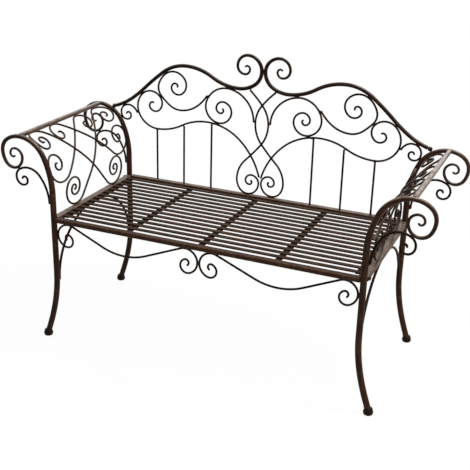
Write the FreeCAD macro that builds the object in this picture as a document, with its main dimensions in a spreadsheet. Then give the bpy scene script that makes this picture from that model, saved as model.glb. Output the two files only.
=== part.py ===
import FreeCAD, Part
import Sketcher
import math
import os

# Metal garden bench: scrolled round-bar end frames, a slatted seat and a scrolled back.
# Millimetres. X runs along the bench, the sitter faces -Y and Z is up.
# The origin lies on the floor under the middle of the seat.

os.makedirs("parts", exist_ok=True)
Vector = FreeCAD.Vector

SIZES = {
    # Gap left where two pieces meet, and around a bolt in its hole
    "fit": 0.15,
    "bolt_clearance": 0.3,
    # Posts: one bar from the floor up to the scroll in front of the arm
    "leg_spread": 998,
    "leg_depth": 475.5,
    "leg_diameter": 19,
    "leg_kick": 51,
    "leg_rake": 22,
    "knee_height": 240,
    "neck_height": 500,
    "arm_height": 670,
    "arm_flare": 113,
    "scroll_reach": 63,
    "scroll_shoulder": 52,
    "scroll_drop": 103,
    "scroll_lead": 25,
    "scroll_throat": 9,
    "scroll_throat_drop": 66,
    "scroll_eye_radius": 26,
    "scroll_eye_steps": 5.5,
    "scroll_tip_diameter": 6.5,
    # Feet
    "foot_height": 18,
    "foot_base_diameter": 30,
    "foot_top_diameter": 26,
    "foot_lip": 6,
    "foot_set_out": 2,
    # Arm rails, brackets under the arm scrolls and arches under the side rails
    "arm_rail_diameter": 15,
    "bracket_diameter": 7,
    "bracket_rise": 42,
    "bracket_touch": 8,
    "bracket_radius": 29,
    "bracket_steps": 7,
    "arch_diameter": 8,
    "arch_spring": 205,
    # Seat
    "seat_height": 424,
    "rail_width": 20,
    "rail_height": 14,
    "rail_wall": 1.5,
    "end_plate_thickness": 3,
    "slat_count": 14,
    "slat_width": 15,
    "slat_thickness": 4,
    "slat_margin": 17.625,
    "slat_drop": 0.5,
    "strap_width": 20,
    "strap_thickness": 3,
    "strap_spacing": 242,
    # Seat bolts and nuts
    "seat_bolt_diameter": 6,
    "seat_bolt_inset": 19,
    "seat_head_diameter": 14,
    "seat_head_height": 5,
    "seat_nut_width": 10,
    "seat_nut_height": 5,
    "seat_bolt_end": 2,
    # Knobs that hold the top rail on the posts, and their bolts
    "knob_diameter": 15,
    "knob_set_in": 51,
    "knob_bolt_diameter": 5,
    "knob_bolt_depth": 9,
    "knob_head_diameter": 10,
    "knob_head_height": 4,
    # Top rail and its finial
    "top_rail_diameter": 12.5,
    "rail_end_slope": 18,
    "shoulder_x": 433,
    "shoulder_z": 744,
    "shoulder_slope": 44,
    "crest_x": 275,
    "crest_z": 835.5,
    "dip_x": 85,
    "dip_z": 782,
    "finial_z": 845,
    "finial_radius": 48,
    "finial_steps": 7.5,
    "finial_tip_diameter": 6.5,
    # Thin bars of the back, the apron and the arms
    "rod_diameter": 6.5,
    "wave_touch_x": 447,
    "wave_radius": 46,
    "wave_steps": 7,
    "wave_bottom_x": 385,
    "wave_bottom_z": 606,
    "wave_crest_x": 200,
    "wave_crest_z": 654,
    "wave_end_x": 4.5,
    "wave_end_rise": 64,
    "wave_end_slope": 75,
    "heart_foot_x": 163,
    "heart_radius": 43,
    "heart_steps": 8,
    "heart_rail_x": 115,
    "heart_end_z": 675,
    "crown_touch_x": 357,
    "crown_radius": 49,
    "crown_steps": 7.5,
    "crown_bottom_x": 300,
    "crown_bottom_z": 682,
    "crown_end_z": 740,
    "lyre_touch_rise": 44,
    "lyre_radius": 27,
    "lyre_steps": 7,
    "lyre_foot_x": 42,
    "lyre_side_x": 82,
    "lyre_side_rise": 51,
    "lyre_cross_z": 603,
    "lyre_cross_slope": 51,
    "lyre_bulge": 24,
    "lyre_bulge_z": 672,
    "lyre_end_x": 47,
    "lyre_end_slope": 41,
    "corner_radius": 28,
    "corner_steps": 7,
    "corner_end_drop": 15,
    "baluster_outer_x": 387,
    "baluster_middle_x": 284,
    "baluster_inner_x": 181,
    "apron_outer_radius": 38.5,
    "apron_inner_radius": 40,
    "apron_turns": 4,
    "swag_x": 250,
    "swag_drop": 84,
    "swag_radius": 190,
    "arm_rearward_foot_inset": 62,
    "arm_forward_foot_inset": 82,
    "arm_outer_top_radius": 49,
    "arm_outer_top_steps": 9.5,
    "arm_outer_foot_radius": 57,
    "arm_outer_foot_steps": 11.5,
    "arm_inner_top_radius": 42,
    "arm_inner_top_steps": 7,
    "arm_inner_foot_radius": 60,
    "arm_inner_foot_steps": 9,
    "arm_slack_slope": 28,
    # Smallest bend of a scroll, and the longest piece between two stations of an arm scroll
    "smallest_bend": 4,
    "arm_step": 30,
    "arm_step_angle": 60,
}

doc = FreeCAD.newDocument("garden_bench")
sheet = doc.addObject("Spreadsheet::Sheet", "Sizes")
for row, (alias, value) in enumerate(SIZES.items(), 1):
    sheet.set(f"A{row}", alias)
    sheet.set(f"B{row}", str(value))
    sheet.setAlias(f"B{row}", alias)
doc.recompute()

# How finely crossings and contacts are searched for
SAMPLES_PER_EDGE = 40
HALVINGS = 40
CONTACT_HALVINGS = 20
SETTLINGS = 3
STRAIGHT = 1e-7
PARALLEL = 1e-9

nodes = []
SIDES = (("left", -1), ("right", 1))
ENDS = (("front", -1), ("rear", 1))


def size(alias):
    return float(sheet.get(alias))


fit = size("fit")
leg_x = size("leg_spread") / 2
leg_y = size("leg_depth") / 2
leg_radius = size("leg_diameter") / 2
rod_radius = size("rod_diameter") / 2
seat_top = size("seat_height")


# Stations: a bar runs through (point, heading) pairs joined by tangent arcs.
# Headings in a flat frame are degrees from +X towards +Z, and a positive hand turns that way.

def turned(direction, degrees):
    angle = math.radians(degrees)
    cosine = math.cos(angle)
    sine = math.sin(angle)
    across = direction.x * cosine - direction.z * sine
    return Vector(across, 0, direction.x * sine + direction.z * cosine)


def station(x, z, degrees):
    return Vector(x, 0, z), turned(Vector(1, 0, 0), degrees)


def flip(place):
    return place[0], place[1] * -1


def backwards(stations):
    return [flip(place) for place in reversed(stations)]


def sided(stations, side):
    def across(vector):
        return Vector(vector.x * side, vector.y, vector.z)
    return [(across(point), across(heading)) for point, heading in stations]


def beside(place, hand, distance):
    point, heading = place
    return point + turned(heading, hand * 90) * distance, heading


def arc(start, heading, end):
    chord = end - start
    along_chord = Vector(chord)
    along_chord.normalize()
    bulge = heading - along_chord * heading.dot(along_chord)
    if bulge.Length < STRAIGHT:
        return Part.LineSegment(start, end).toShape()
    angle = math.acos(max(-1, min(1, heading.dot(along_chord))))
    bulge.normalize()
    middle = start + chord * 0.5 + bulge * (chord.Length / 2 * math.tan(angle / 2))
    return Part.Arc(start, middle, end).toShape()


def biarc(first, second):
    start, leaving = first
    end, arriving = second
    step = end - start
    both = leaving + arriving
    slack = 2 * (1 - leaving.dot(arriving))
    if abs(slack) < PARALLEL:
        reach = step.dot(step) / (4 * step.dot(arriving))
    else:
        reach = (math.sqrt(step.dot(both) ** 2 + slack * step.dot(step)) - step.dot(both)) / slack
    near = start + leaving * reach
    far = end - arriving * reach
    middle = (near + far) * 0.5
    through = far - near
    through.normalize()
    return [arc(start, leaving, middle), arc(middle, through, end)]


def chain(stations):
    edges = []
    for first, second in zip(stations, stations[1:]):
        edges += biarc(first, second)
    return edges


def along(edges, length):
    for edge in edges:
        if length <= edge.Length or edge is edges[-1]:
            spot = edge.getParameterByLength(max(0, min(length, edge.Length)))
            return edge.valueAt(spot), edge.tangentAt(spot)
        length -= edge.Length


def where(edges, axis, value, crossing=1):
    """Length along the edges at which a coordinate passes the value for the nth time."""
    def off(length):
        return getattr(along(edges, length)[0], axis) - value
    whole = sum(edge.Length for edge in edges)
    steps = SAMPLES_PER_EDGE * len(edges)
    low = 0
    for step in range(1, steps + 1):
        high = whole * step / steps
        if off(low) * off(high) <= 0:
            crossing -= 1
            if crossing == 0:
                break
        low = high
    for halving in range(HALVINGS):
        middle = (low + high) / 2
        if off(low) * off(middle) <= 0:
            high = middle
        else:
            low = middle
    return low


def volute(start, hand, radius, steps, step_angle=90):
    """Arcs of shrinking radius that wind in from a station."""
    stations = []
    point, heading = start
    step = 0
    bend = radius
    while step < steps and bend >= size("smallest_bend"):
        eye = point + turned(heading, hand * 90) * bend
        point = eye + turned(heading, hand * (step_angle - 90)) * bend
        heading = turned(heading, hand * step_angle)
        stations.append((point, heading))
        step += 1
        bend = radius * (1 - step / steps) ** 2
    return stations


def crossed_belt(first, first_radius, second, second_radius, hand):
    """Stations at the ends of the line from one loop to a loop that turns the other way."""
    span = second - first
    lean = math.degrees(math.asin((first_radius + second_radius) / span.Length))
    span.normalize()
    heading = turned(span, hand * lean)
    side = turned(heading, 90)
    leaving = first - side * (hand * first_radius)
    arriving = second + side * (hand * second_radius)
    return [(leaving, heading), (arriving, heading)]


def reach(first_radius, second_radius, layers_apart):
    """Distance in the panel between two touching bars that lie in different layers."""
    return math.sqrt((first_radius + second_radius + fit) ** 2 - layers_apart ** 2)


# Document objects

# Turns a bar's seam to its side, clear of the holes that lie in the plane of its bends
SEAM = FreeCAD.Rotation(Vector(0, 0, 1), 90)


def bar(label, stations, *diameters):
    """A round bar along the stations; a second diameter tapers it to that size."""
    path = doc.addObject("Part::Feature", label + "_path")
    path.Shape = Part.Wire(chain(stations))
    sections = []
    for number, (diameter, place) in enumerate(zip(diameters, (stations[0], stations[-1]))):
        ring = doc.addObject("Part::Circle", f"{label}_ring_{number}")
        ring.setExpression("Radius", f"Sizes.{diameter} / 2")
        facing = FreeCAD.Rotation(Vector(0, 0, 1), place[1]) * SEAM
        ring.Placement = FreeCAD.Placement(place[0], facing)
        sections.append(ring)
    sweep = doc.addObject("Part::Sweep", label)
    sweep.Sections = sections
    sweep.Spine = (path, [])
    sweep.Solid = True
    return sweep


def at_depth(item, depth):
    item.Placement = FreeCAD.Placement(Vector(0, depth, 0), FreeCAD.Rotation())


def place(item, x="0", y="0", z="0"):
    for axis, expression in zip("xyz", (x, y, z)):
        item.setExpression(f"Placement.Base.{axis}", expression)


def bound(item, **expressions):
    for name, expression in expressions.items():
        item.setExpression(name, expression)


def joined(kind, label, base, tool):
    item = doc.addObject(kind, label)
    item.Base = base
    item.Tool = tool
    return item


def sketch_on(body, role, label):
    sketch = body.newObject("Sketcher::SketchObject", label)
    plane = next(item for item in body.Origin.OriginFeatures if item.Role == role)
    sketch.AttachmentSupport = (plane, [""])
    sketch.MapMode = "FlatFace"
    return sketch


def dimension(sketch, constraint, expression):
    index = sketch.addConstraint(constraint)
    sketch.setExpression(f"Constraints[{index}]", expression)


def rectangle(sketch, width, height):
    """A rectangle about the sketch's origin."""
    corners = [Vector(-1, -1, 0), Vector(1, -1, 0), Vector(1, 1, 0), Vector(-1, 1, 0)]
    lines = []
    for corner, following in zip(corners, corners[1:] + corners[:1]):
        lines.append(sketch.addGeometry(Part.LineSegment(corner, following)))
    for line, following in zip(lines, lines[1:] + lines[:1]):
        sketch.addConstraint(Sketcher.Constraint("Coincident", line, 2, following, 1))
    for level, upright in zip(lines[::2], lines[1::2]):
        sketch.addConstraint(Sketcher.Constraint("Horizontal", level))
        sketch.addConstraint(Sketcher.Constraint("Vertical", upright))
    sketch.addConstraint(Sketcher.Constraint("Symmetric", lines[0], 1, lines[1], 2, -1, 1))
    dimension(sketch, Sketcher.Constraint("DistanceX", lines[0], 1, lines[0], 2, 2), width)
    dimension(sketch, Sketcher.Constraint("DistanceY", lines[1], 1, lines[1], 2, 2), height)


def bolt_holes(sketch, across, diameter):
    """One hole on each side of the sketch's origin along its first axis."""
    for side in (-1, 1):
        hole = sketch.addGeometry(Part.Circle(Vector(side, 0, 0), Vector(0, 0, 1), 0.5))
        sketch.addConstraint(Sketcher.Constraint("PointOnObject", hole, 3, -1))
        dimension(sketch, Sketcher.Constraint("DistanceX", -1, 1, hole, 3, side), f"{side} * ({across})")
        dimension(sketch, Sketcher.Constraint("Diameter", hole, 1), diameter)


# Posts, brackets and feet

apex_x = leg_x + size("arm_flare")
arm_z = size("arm_height")
apex = station(apex_x, arm_z, 0)
lower_post = [
    station(leg_x + size("leg_kick"), 0, 90 + size("leg_rake")),
    station(leg_x, size("knee_height"), 90),
    station(leg_x, size("neck_height"), 90),
]
upper_post = [
    lower_post[-1],
    apex,
    station(apex_x + size("scroll_reach"), arm_z - size("scroll_shoulder"), -90),
    station(apex_x + size("scroll_lead"), arm_z - size("scroll_drop"), 180),
    station(apex_x - size("scroll_throat"), arm_z - size("scroll_throat_drop"), 90),
]
upper_post += volute(upper_post[-1], -1, size("scroll_eye_radius"), size("scroll_eye_steps"))
lower_edges = chain(lower_post)
upper_edges = chain(upper_post)
upper_length = sum(edge.Length for edge in upper_edges)


def post_radius(length):
    """Radius of the post at a length above its neck, where it starts to taper."""
    share = max(0, length) / upper_length
    return leg_radius + (size("scroll_tip_diameter") / 2 - leg_radius) * share


bracket_length = where(upper_edges, "x", apex_x + size("bracket_touch"), 2)
bracket_radius = size("bracket_diameter") / 2
bracket_foot = along(lower_edges, where(lower_edges, "z", seat_top + size("bracket_rise")))
bracket_head = beside(
    along(upper_edges, bracket_length), 1, post_radius(bracket_length) + bracket_radius + fit)
bracket = [
    beside(bracket_foot, -1, leg_radius + bracket_radius + fit),
    flip(bracket_head),
]
bracket += volute(bracket[-1], -1, size("bracket_radius"), size("bracket_steps"))

knob_length = where(upper_edges, "x", apex_x - size("knob_set_in"))
knob_foot, knob_heading = along(upper_edges, knob_length)
knob_axis = turned(knob_heading, 90)
knob_radius = size("knob_diameter") / 2
knob_seat = post_radius(knob_length) + fit
knob_centre = knob_foot + knob_axis * (knob_seat + knob_radius)
knob_bolt_start = knob_foot - knob_axis * post_radius(knob_length)
knob_bolt_length = post_radius(knob_length) + knob_seat + size("knob_bolt_depth")


def on_knob_axis(item, start, side, depth):
    """Stands an item on a point of the knob's axis, pointing up along it."""
    (point, heading), = sided([(start, knob_axis)], side)
    point.y = depth
    item.Placement = FreeCAD.Placement(point, FreeCAD.Rotation(Vector(0, 0, 1), heading))


def knob_hole(label, side, depth):
    hole = doc.addObject("Part::Cylinder", label)
    bound(hole, Radius="Sizes.knob_bolt_diameter / 2 + Sizes.bolt_clearance")
    hole.Height = knob_bolt_length + 2 * size("bolt_clearance")
    on_knob_axis(hole, knob_bolt_start - knob_axis * size("bolt_clearance"), side, depth)
    return hole


foot_x = along(lower_edges, where(lower_edges, "z", size("foot_height")))[0].x + size("foot_set_out")
for end, end_sign in ENDS:
    for side, sign in SIDES:
        label = f"post_{end}_{side}"
        leg = bar(label + "_leg", sided(lower_post, sign), "leg_diameter")
        scroll = bar(label + "_scroll", sided(upper_post, sign), "leg_diameter", "scroll_tip_diameter")
        whole = joined("Part::Fuse", label + "_bar", leg, scroll)
        floor_block = doc.addObject("Part::Box", label + "_floor_block")
        bound(floor_block, Length="4 * (Sizes.leg_kick + Sizes.leg_diameter)",
              Width="4 * Sizes.leg_diameter", Height="2 * Sizes.foot_height")
        place(floor_block, f"{sign} * Sizes.leg_spread / 2 - 2 * (Sizes.leg_kick + Sizes.leg_diameter)",
              "-2 * Sizes.leg_diameter", "-Sizes.foot_height")
        if end == "front":
            post = joined("Part::Cut", label, whole, floor_block)
        else:
            cut = joined("Part::Cut", label + "_cut", whole, floor_block)
            post = joined("Part::Cut", label, cut, knob_hole(label + "_knob_hole", sign, 0))
        place(post, y=f"{end_sign} * Sizes.leg_depth / 2")
        nodes.append(post)

        label = f"foot_{end}_{side}"
        lip = doc.addObject("Part::Cylinder", label + "_lip")
        bound(lip, Radius="Sizes.foot_base_diameter / 2", Height="Sizes.foot_lip")
        cup = doc.addObject("Part::Cone", label + "_cup")
        bound(cup, Radius1="Sizes.foot_base_diameter / 2", Radius2="Sizes.foot_top_diameter / 2",
              Height="Sizes.foot_height - Sizes.foot_lip")
        place(cup, z="Sizes.foot_lip")
        foot = joined("Part::Fuse", label, lip, cup)
        foot.Placement.Base = Vector(sign * foot_x, end_sign * leg_y, 0)
        nodes.append(foot)

        scroll_bracket = bar(f"bracket_{end}_{side}", sided(bracket, sign), "bracket_diameter")
        at_depth(scroll_bracket, end_sign * leg_y)
        nodes.append(scroll_bracket)

# Arm rails across the tops of the posts, and arches between the legs

apex_radius = post_radius(where(upper_edges, "x", apex_x))
arch_radius = size("arch_diameter") / 2
arch_y = leg_y - leg_radius - fit - arch_radius
arch_top = seat_top - size("rail_height") - fit - arch_radius
for side, sign in SIDES:
    arm_rail = doc.addObject("Part::Cylinder", f"arm_rail_{side}")
    bound(arm_rail, Radius="Sizes.arm_rail_diameter / 2")
    arm_rail.Height = 2 * (leg_y - apex_radius - fit)
    arm_rail.Placement = FreeCAD.Placement(
        Vector(sign * apex_x, apex_radius + fit - leg_y, arm_z), FreeCAD.Rotation(Vector(1, 0, 0), -90))
    nodes.append(arm_rail)

    arch = [
        (Vector(sign * leg_x, -arch_y, size("arch_spring")), Vector(0, 0, 1)),
        (Vector(sign * leg_x, 0, arch_top), Vector(0, 1, 0)),
        (Vector(sign * leg_x, arch_y, size("arch_spring")), Vector(0, 0, -1)),
    ]
    nodes.append(bar(f"arch_brace_{side}", arch, "arch_diameter"))

# Seat: tube rails, end plates, straps and slats

RAIL_Z = "Sizes.seat_height - Sizes.rail_height / 2"
INSIDE_DEPTH = "Sizes.leg_depth - Sizes.rail_width - 2 * Sizes.fit"
BOLT_Y = "Sizes.leg_depth / 2 - Sizes.seat_bolt_inset"
BOLT_HOLE = "Sizes.seat_bolt_diameter + 2 * Sizes.bolt_clearance"
PLATE_X = "Sizes.leg_spread / 2 - Sizes.rail_width / 2 - Sizes.fit - Sizes.end_plate_thickness"


def tube_rail(label, role, length):
    body = doc.addObject("PartDesign::Body", label)
    section = sketch_on(body, role, label + "_section")
    rectangle(section, "Sizes.rail_width", "Sizes.rail_height")
    rectangle(section, "Sizes.rail_width - 2 * Sizes.rail_wall", "Sizes.rail_height - 2 * Sizes.rail_wall")
    pad = body.newObject("PartDesign::Pad", label + "_pad")
    pad.Profile = section
    pad.SideType = "Symmetric"
    pad.setExpression("Length", length)
    nodes.append(body)
    return body


for end, end_sign in ENDS:
    rail = tube_rail(f"{end}_rail", "YZ_Plane",
                     "Sizes.leg_spread - max(Sizes.leg_diameter; Sizes.rail_width) - 2 * Sizes.fit")
    place(rail, y=f"{end_sign} * Sizes.leg_depth / 2", z=RAIL_Z)

for side, sign in SIDES:
    rail = tube_rail(f"side_rail_{side}", "XZ_Plane",
                     "Sizes.leg_depth - Sizes.leg_diameter - 2 * Sizes.fit")
    doc.recompute()
    drilling = sketch_on(rail, "YZ_Plane", rail.Label + "_drilling")
    bolt_holes(drilling, BOLT_Y, BOLT_HOLE)
    drilled = rail.newObject("PartDesign::Pocket", rail.Label + "_drilled")
    drilled.Profile = drilling
    drilled.SideType = "Symmetric"
    drilled.Type = "ThroughAll"
    place(rail, f"{sign} * Sizes.leg_spread / 2", z=RAIL_Z)

    plate = doc.addObject("PartDesign::Body", f"seat_end_{side}")
    face = sketch_on(plate, "YZ_Plane", plate.Label + "_face")
    rectangle(face, INSIDE_DEPTH, "Sizes.rail_height")
    bolt_holes(face, BOLT_Y, BOLT_HOLE)
    thickness = plate.newObject("PartDesign::Pad", plate.Label + "_pad")
    thickness.Profile = face
    thickness.SideType = "Symmetric"
    thickness.setExpression("Length", "Sizes.end_plate_thickness")
    place(plate, f"{sign} * ({PLATE_X} + Sizes.end_plate_thickness / 2)", z=RAIL_Z)
    nodes.append(plate)

END_STRAP_X = f"({PLATE_X} - Sizes.fit - Sizes.strap_width / 2)"
END_STRAP_DEPTH = f"2 * ({BOLT_Y} - Sizes.seat_nut_width)"
STRAPS = {
    "left_end": (f"-{END_STRAP_X}", END_STRAP_DEPTH),
    "left": ("-Sizes.strap_spacing", INSIDE_DEPTH),
    "middle": ("0", INSIDE_DEPTH),
    "right": ("Sizes.strap_spacing", INSIDE_DEPTH),
    "right_end": (END_STRAP_X, END_STRAP_DEPTH),
}
straps = []
for name, (x, depth) in STRAPS.items():
    strap = doc.addObject("Part::Box", f"strap_{name}")
    bound(strap, Length="Sizes.strap_width", Width=depth, Height="Sizes.strap_thickness")
    place(strap, f"{x} - Sizes.strap_width / 2", f"-({depth}) / 2",
          "Sizes.seat_height - Sizes.slat_drop - Sizes.slat_thickness - Sizes.strap_thickness")
    straps.append(strap)
seat_straps = doc.addObject("Part::Compound", "seat_straps")
seat_straps.Links = straps
nodes.append(seat_straps)

SLAT_PITCH = (f"({INSIDE_DEPTH} - Sizes.slat_width - 2 * Sizes.slat_margin)"
              " / (Sizes.slat_count - 1)")
slats = []
for number in range(int(size("slat_count"))):
    slat = doc.addObject("Part::Box", f"slat_{number + 1}")
    bound(slat, Length=f"2 * ({PLATE_X} - Sizes.fit)", Width="Sizes.slat_width",
          Height="Sizes.slat_thickness")
    place(slat, f"Sizes.fit - ({PLATE_X})",
          f"({number} - (Sizes.slat_count - 1) / 2) * {SLAT_PITCH} - Sizes.slat_width / 2",
          "Sizes.seat_height - Sizes.slat_drop - Sizes.slat_thickness")
    slats.append(slat)
seat_slats = doc.addObject("Part::Compound", "seat_slats")
seat_slats.Links = slats
nodes.append(seat_slats)


# Bolts and nuts

def domed_bolt(label, kind, length):
    """A bolt whose domed head lies below the origin and whose shank points up."""
    shank = doc.addObject("Part::Cylinder", label + "_shank")
    bound(shank, Radius=f"Sizes.{kind}_bolt_diameter / 2", Height=length)
    dome = doc.addObject("Part::Sphere", label + "_dome")
    ball = (f"((Sizes.{kind}_head_diameter / 2) ^ 2 + Sizes.{kind}_head_height ^ 2)"
            f" / (2 * Sizes.{kind}_head_height)")
    bound(dome, Radius=ball, Angle2=f"asin(Sizes.{kind}_head_height / ({ball}) - 1)")
    dome.Angle1 = -90
    place(dome, z=f"{ball} - Sizes.{kind}_head_height")
    return joined("Part::Fuse", label, shank, dome)


seat_bolts = []
seat_nuts = []
SEAT_BOLT = ("Sizes.rail_width + Sizes.fit + Sizes.end_plate_thickness"
             " + Sizes.seat_nut_height + Sizes.seat_bolt_end")
for end, end_sign in ENDS:
    for side, sign in SIDES:
        inward = FreeCAD.Rotation(Vector(0, 0, 1), Vector(-sign, 0, 0))
        bolt = domed_bolt(f"seat_bolt_{end}_{side}", "seat", SEAT_BOLT)
        bolt.Placement.Rotation = inward
        place(bolt, f"{sign} * (Sizes.leg_spread + Sizes.rail_width) / 2",
              f"{end_sign} * ({BOLT_Y})", RAIL_Z)
        seat_bolts.append(bolt)
        blank = doc.addObject("Part::Prism", f"seat_nut_blank_{end}_{side}")
        blank.Polygon = 6
        bound(blank, Circumradius="Sizes.seat_nut_width / 2 / cos(30)", Height="Sizes.seat_nut_height")
        thread = doc.addObject("Part::Cylinder", f"seat_nut_bore_{end}_{side}")
        bound(thread, Radius="Sizes.seat_bolt_diameter / 2 + Sizes.fit", Height="Sizes.seat_nut_height")
        nut = joined("Part::Cut", f"seat_nut_{end}_{side}", blank, thread)
        nut.Placement.Rotation = inward
        place(nut, f"{sign} * ({PLATE_X})", f"{end_sign} * ({BOLT_Y})", RAIL_Z)
        seat_nuts.append(nut)

knob_bolts = []
for side, sign in SIDES:
    ball = doc.addObject("Part::Sphere", f"knob_ball_{side}")
    bound(ball, Radius="Sizes.knob_diameter / 2")
    on_knob_axis(ball, knob_centre, sign, leg_y)
    knob = joined("Part::Cut", f"knob_{side}", ball, knob_hole(f"knob_bore_{side}", sign, leg_y))
    nodes.append(knob)
    bolt = domed_bolt(f"knob_bolt_{side}", "knob", str(knob_bolt_length))
    on_knob_axis(bolt, knob_bolt_start, sign, leg_y)
    knob_bolts.append(bolt)

for label, members in (("seat_bolts", seat_bolts), ("seat_nuts", seat_nuts), ("knob_bolts", knob_bolts)):
    group = doc.addObject("Part::Compound", label)
    group.Links = members
    nodes.append(group)

# Back: the top rail, with scrolls, balusters and a lyre below it.
# Its thin bars lie in two layers that touch where bars cross.

layer = rod_radius + fit / 2
top_rail_radius = size("top_rail_diameter") / 2
rod_to_rail = reach(top_rail_radius, rod_radius, layer)
rod_to_rod = 2 * rod_radius + fit
rail_heading = turned(Vector(-1, 0, 0), -size("rail_end_slope"))
top_rail = [
    (knob_centre + rail_heading * (knob_radius + fit), rail_heading),
    station(size("shoulder_x"), size("shoulder_z"), 180 - size("shoulder_slope")),
    station(size("crest_x"), size("crest_z"), 180),
    station(size("dip_x"), size("dip_z"), 180),
    station(top_rail_radius + fit / 2, size("finial_z"), 90),
]
finial = [top_rail[-1]] + volute(top_rail[-1], -1, size("finial_radius"), size("finial_steps"))
rail_edges = chain(top_rail)


def under_rail(x):
    """Station of a thin bar that touches the top rail from below, heading to the middle."""
    return beside(along(rail_edges, where(rail_edges, "x", x)), 1, rod_to_rail)


wave_touch = under_rail(size("wave_touch_x"))
wave_run = [
    flip(wave_touch),
    station(size("wave_bottom_x"), size("wave_bottom_z"), 180),
    station(size("wave_crest_x"), size("wave_crest_z"), 180),
    station(size("wave_end_x"), seat_top + size("wave_end_rise"), 180 + size("wave_end_slope")),
]
wave_coil = volute(wave_touch, 1, size("wave_radius"), size("wave_steps"))
wave = backwards(wave_coil) + wave_run
wave_edges = chain(wave_run)
wave_edges_from_end = chain(backwards(wave_run))

lyre_touch = station(rod_radius + fit / 2, seat_top + size("lyre_touch_rise"), 90)
lyre_stop, lyre_rail_heading = along(rail_edges, where(rail_edges, "x", size("lyre_end_x")))
lyre_heading = turned(Vector(1, 0, 0), size("lyre_end_slope"))
lyre_gap = top_rail_radius + fit + rod_radius * abs(lyre_heading.dot(lyre_rail_heading))
lyre_end = lyre_stop + turned(lyre_rail_heading, 90) * lyre_gap
lyre = backwards(volute(lyre_touch, -1, size("lyre_radius"), size("lyre_steps"))) + [
    flip(lyre_touch),
    station(size("lyre_foot_x"), seat_top + fit + rod_radius, 0),
    station(size("lyre_side_x"), seat_top + size("lyre_side_rise"), 90),
    station(0, size("lyre_cross_z"), 180 - size("lyre_cross_slope")),
    station(-size("lyre_bulge"), size("lyre_bulge_z"), 90),
    (lyre_end, lyre_heading),
]

heart_foot = flip(beside(along(wave_edges, where(wave_edges, "x", size("heart_foot_x"))), -1, rod_to_rod))
heart_run = [
    heart_foot,
    under_rail(size("heart_rail_x")),
    station(size("lyre_bulge") + rod_to_rod, size("heart_end_z"), -90),
]
heart = backwards(volute(flip(heart_foot), -1, size("heart_radius"), size("heart_steps"))) + heart_run
heart_edges = chain(heart_run)

crown_touch = under_rail(size("crown_touch_x"))
crown_end = beside(along(heart_edges, where(heart_edges, "z", size("crown_end_z"))), -1, rod_to_rod)
crown = backwards(volute(crown_touch, 1, size("crown_radius"), size("crown_steps"))) + [
    flip(crown_touch),
    beside(wave_coil[0], -1, rod_to_rod),
    station(size("crown_bottom_x"), size("crown_bottom_z"), 180),
    crown_end,
]


def corner_coil(x):
    """Coil of the corner scroll where it touches the top rail at x, and its room to the post."""
    touch = under_rail(x)
    coil = volute(flip(touch), -1, size("corner_radius"), size("corner_steps"))
    path = Part.Wire(chain([flip(touch)] + coil))
    distance, points, _ = path.distToShape(Part.Wire(upper_edges))
    post_spot = where(upper_edges, "z", points[0][1].z)
    return touch, coil, distance - reach(post_radius(post_spot), rod_radius, layer)


# The corner scroll lies as far out along the top rail as the post lets it
clear_x = size("shoulder_x")
blocked_x = top_rail[0][0].x
for halving in range(HALVINGS):
    middle_x = (clear_x + blocked_x) / 2
    if corner_coil(middle_x)[2] > 0:
        clear_x = middle_x
    else:
        blocked_x = middle_x
corner_touch, corner_turns, _ = corner_coil(clear_x)
corner_end_at = where(wave_edges, "z", arm_z - size("corner_end_drop"))
corner_end = beside(along(wave_edges, corner_end_at), 1, rod_to_rod)
corner = backwards(corner_turns) + [corner_touch, corner_end]

BACK_SCROLLS = (("wave", wave), ("heart", heart), ("crown", crown), ("corner", corner))
BALUSTERS = ("outer", "middle", "inner")
for side, sign in SIDES:
    own_layer = leg_y - sign * layer
    other_layer = leg_y + sign * layer
    lower = bar(f"top_rail_{side}_run", sided(top_rail, sign), "top_rail_diameter")
    upper = bar(f"top_rail_{side}_finial", sided(finial, sign), "top_rail_diameter", "finial_tip_diameter")
    rail = joined("Part::Fuse", f"top_rail_{side}", lower, upper)
    at_depth(rail, leg_y)
    nodes.append(rail)
    for name, stations in BACK_SCROLLS:
        scroll = bar(f"back_{name}_{side}", sided(stations, sign), "rod_diameter")
        at_depth(scroll, own_layer)
        nodes.append(scroll)
    scroll = bar(f"back_lyre_{side}", sided(lyre, sign), "rod_diameter")
    at_depth(scroll, other_layer)
    nodes.append(scroll)
    for name in BALUSTERS:
        x = size(f"baluster_{name}_x")
        point, heading = along(wave_edges_from_end, where(wave_edges_from_end, "x", x))
        slope = abs(heading.z / heading.x)
        rise = math.hypot(1, slope)
        baluster = doc.addObject("Part::Cylinder", f"baluster_{name}_{side}")
        bound(baluster, Radius="Sizes.rod_diameter / 2")
        baluster.Height = point.z - rod_radius * (rise + slope) - fit - seat_top
        baluster.Placement.Base = Vector(sign * x, own_layer, seat_top)
        nodes.append(baluster)

# Apron scrolls under the front rail

rail_under = seat_top - size("rail_height") - fit - rod_radius
swag_eye = Vector(size("swag_x"), 0, seat_top - size("swag_drop") + size("swag_radius"))
inner_radius = size("apron_inner_radius")
outer_radius = size("apron_outer_radius")
inner_eye = Vector(rod_radius + fit / 2 + inner_radius, 0, rail_under - inner_radius)
outer_eye = Vector(leg_x - leg_radius - fit - rod_radius - outer_radius, 0, rail_under - outer_radius)
inner_belt = crossed_belt(swag_eye, size("swag_radius"), inner_eye, inner_radius, -1)
outer_belt = crossed_belt(swag_eye, size("swag_radius"), outer_eye, outer_radius, 1)
apron = backwards(inner_belt + volute(inner_belt[-1], 1, inner_radius, size("apron_turns"), 180))
apron += outer_belt + volute(outer_belt[-1], -1, outer_radius, size("apron_turns"), 180)
for side, sign in SIDES:
    scroll = bar(f"apron_scroll_{side}", sided(apron, sign), "rod_diameter")
    at_depth(scroll, -leg_y)
    nodes.append(scroll)

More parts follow.
